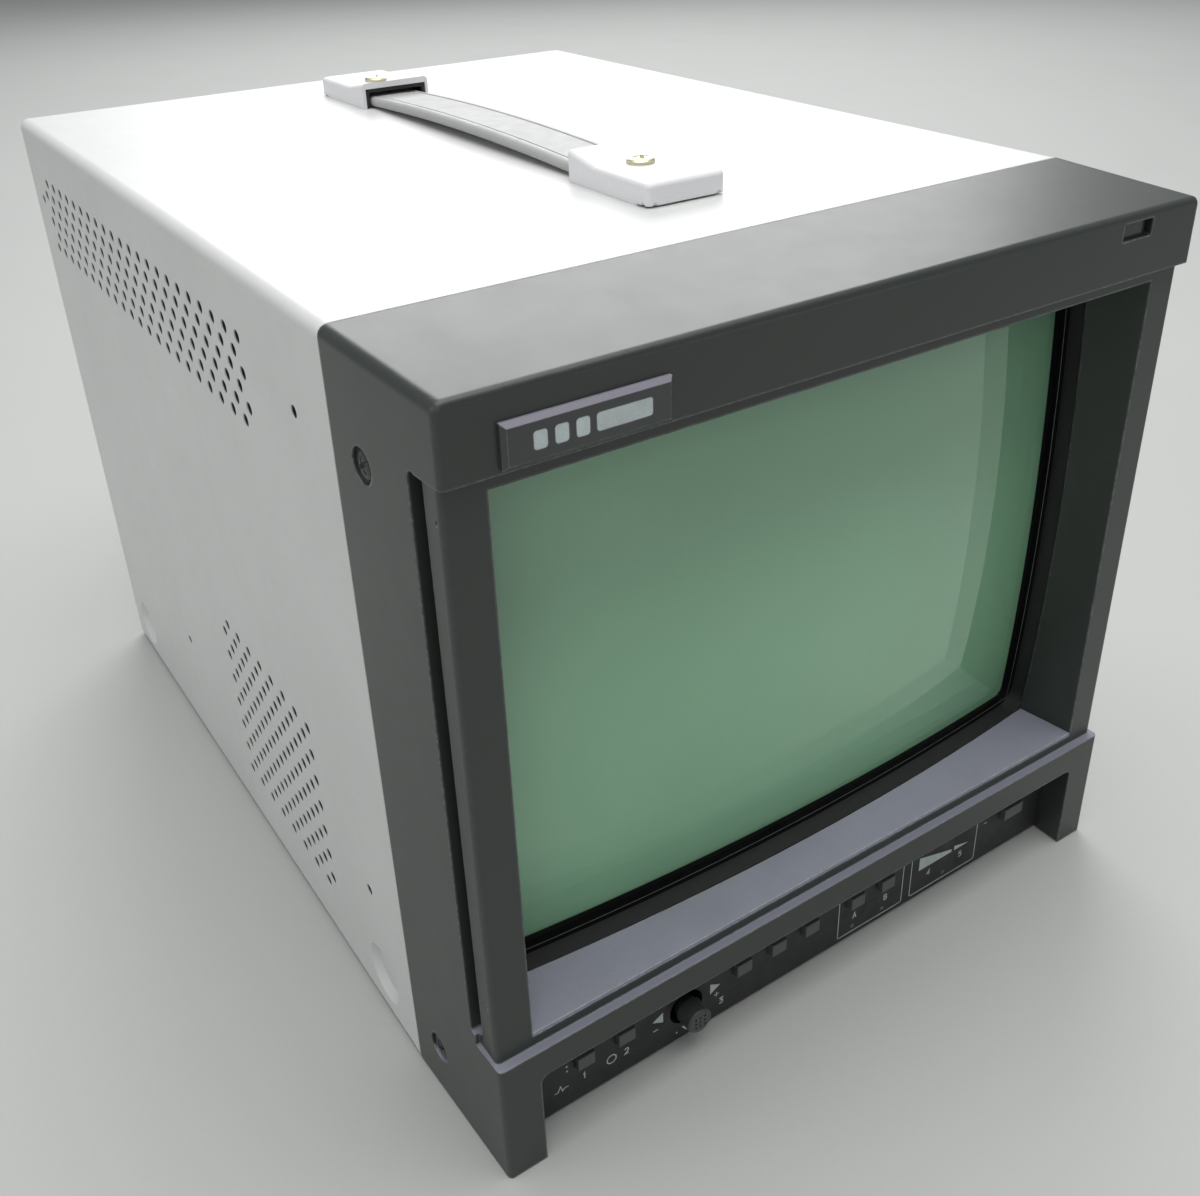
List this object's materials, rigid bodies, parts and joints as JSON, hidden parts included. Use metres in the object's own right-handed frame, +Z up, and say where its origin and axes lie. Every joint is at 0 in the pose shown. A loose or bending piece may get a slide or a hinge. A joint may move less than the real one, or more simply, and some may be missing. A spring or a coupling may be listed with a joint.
{
  "type": "portable video monitor",
  "caption": "Portable cathode ray tube monitor: deep steel cabinet with vents and strap handle, recessed curved screen, moulded front frame, push buttons and small joystick.",
  "frame": {"origin": "on the table, under the middle of the monitor", "axes": "+Z up, +Y from the screen to the rear panel, +X to the right of someone facing the screen"},
  "size_m": [0.22, 0.3078, 0.2191],
  "materials": {
    "cabinet_paint": "fine satin powder paint",
    "bezel_plastic": "fine textured, satin",
    "panel_black": "silk-screened matt sheet",
    "apron_paint": "satin",
    "badge_grey": "satin with a bevelled edge",
    "tally_lens": "smoked lens",
    "button_grey": "satin moulded",
    "knob_black": "matt moulded",
    "knob_cap": "satin moulded",
    "led_lens": "clear moulded",
    "glass_clear": "polished",
    "phosphor": "fine matt powder",
    "mask_steel": "etched dull sheet",
    "funnel_glass": "graphite painted glass",
    "steel_plain": "zinc plated",
    "screw_black": "black oxide",
    "screw_zinc": "yellow zinc plated",
    "rubber_black": "moulded",
    "ferrite": "sintered",
    "copper_wire": "enamelled winding",
    "moulded_cream": "moulded",
    "board_green": "solder-masked board",
    "part_black": "moulded",
    "heat_alloy": "extruded",
    "can_blue": "sleeved cans",
    "paper_cone": "pressed paper",
    "strap_vinyl": "soft vinyl",
    "cap_paint": "chipped satin paint",
    "socket_nickel": "nickel plated",
    "tape_black": "wound tape"
  },
  "bodies": {
    "case": {"cabinet_cover": "cabinet_paint", "front_bezel": "bezel_plastic", "screen_apron": "apron_paint", "name_badge": "badge_grey", "tally_window": "tally_lens", "control_panel": "panel_black", "control_board": "board_green", "tact_switches": "part_black", "indicator_leds": "led_lens", "joystick_housing": "part_black", "crt_faceplate": "glass_clear", "phosphor_screen": "phosphor", "shadow_mask": "mask_steel", "crt_funnel": "funnel_glass", "electron_gun": "steel_plain", "crt_base": "moulded_cream", "tension_band": "steel_plain", "crt_screws": "steel_plain", "crt_gasket": "rubber_black", "yoke_core": "ferrite", "yoke_housing": "moulded_cream", "yoke_coils": "copper_wire", "convergence_rings": "part_black", "neck_board": "board_green", "anode_cap": "rubber_black", "degaussing_coil": "tape_black", "bottom_pan": "steel_plain", "main_board": "board_green", "flyback_transformer": "part_black", "mains_transformer": "ferrite", "heat_sink": "heat_alloy", "filter_capacitors": "can_blue", "video_board": "board_green", "board_brackets": "steel_plain", "bezel_brackets": "steel_plain", "speaker_frame": "steel_plain", "speaker_cone": "paper_cone", "handle_cap_front": "cap_paint", "handle_cap_rear": "cap_paint", "handle_screws": "screw_zinc", "rubber_feet": "rubber_black", "cover_screws": "screw_black", "bezel_screws": "screw_black", "rear_panel": "cabinet_paint", "bnc_connectors": "socket_nickel", "mains_inlet": "part_black", "remote_connector": "socket_nickel", "anode_lead": "rubber_black"},
    "phase_button": {"phase_button": "button_grey"},
    "bright_button": {"bright_button": "button_grey"},
    "left_function_button": {"left_function_button": "button_grey"},
    "middle_function_button": {"middle_function_button": "button_grey"},
    "right_function_button": {"right_function_button": "button_grey"},
    "input_a_button": {"input_a_button": "button_grey"},
    "input_b_button": {"input_b_button": "button_grey"},
    "power_button": {"power_button": "button_grey"},
    "joystick_gimbal": {"joystick_gimbal": "part_black"},
    "joystick_lever": {"joystick_lever": "knob_black", "joystick_cap": "knob_cap"},
    "handle_strap": {"handle_strap": "strap_vinyl"}
  },
  "joints": [
    {"name": "phase_button_press", "type": "slide", "parent": "case", "child": "phase_button", "axis": [0, 1, 0], "range_m": [0, 0.0012], "stiffness_N_per_m": 500},
    {"name": "bright_button_press", "type": "slide", "parent": "case", "child": "bright_button", "axis": [0, 1, 0], "range_m": [0, 0.0012], "stiffness_N_per_m": 500},
    {"name": "left_function_button_press", "type": "slide", "parent": "case", "child": "left_function_button", "axis": [0, 1, 0], "range_m": [0, 0.0012], "stiffness_N_per_m": 500},
    {"name": "middle_function_button_press", "type": "slide", "parent": "case", "child": "middle_function_button", "axis": [0, 1, 0], "range_m": [0, 0.0012], "stiffness_N_per_m": 500},
    {"name": "right_function_button_press", "type": "slide", "parent": "case", "child": "right_function_button", "axis": [0, 1, 0], "range_m": [0, 0.0012], "stiffness_N_per_m": 500},
    {"name": "input_a_button_press", "type": "slide", "parent": "case", "child": "input_a_button", "axis": [0, 1, 0], "range_m": [0, 0.0012], "stiffness_N_per_m": 500},
    {"name": "input_b_button_press", "type": "slide", "parent": "case", "child": "input_b_button", "axis": [0, 1, 0], "range_m": [0, 0.0012], "stiffness_N_per_m": 500},
    {"name": "power_button_press", "type": "slide", "parent": "case", "child": "power_button", "axis": [0, 1, 0], "range_m": [0, 0.0012], "stiffness_N_per_m": 500},
    {"name": "joystick_side_tilt", "type": "hinge", "parent": "case", "child": "joystick_gimbal", "pos_m": [-0.0469, -0.13505, 0.0122], "axis": [0, 0, 1], "range_deg": [-6, 6], "stiffness_Nm_per_rad": 0.05},
    {"name": "joystick_up_tilt", "type": "hinge", "parent": "joystick_gimbal", "child": "joystick_lever", "pos_m": [-0.0469, -0.13505, 0.0122], "axis": [1, 0, 0], "range_deg": [-6, 6], "stiffness_Nm_per_rad": 0.05},
    {"name": "handle_lift", "type": "slide", "parent": "case", "child": "handle_strap", "axis": [0, 0, 1], "range_m": [0, 0.0012]}
  ]
}
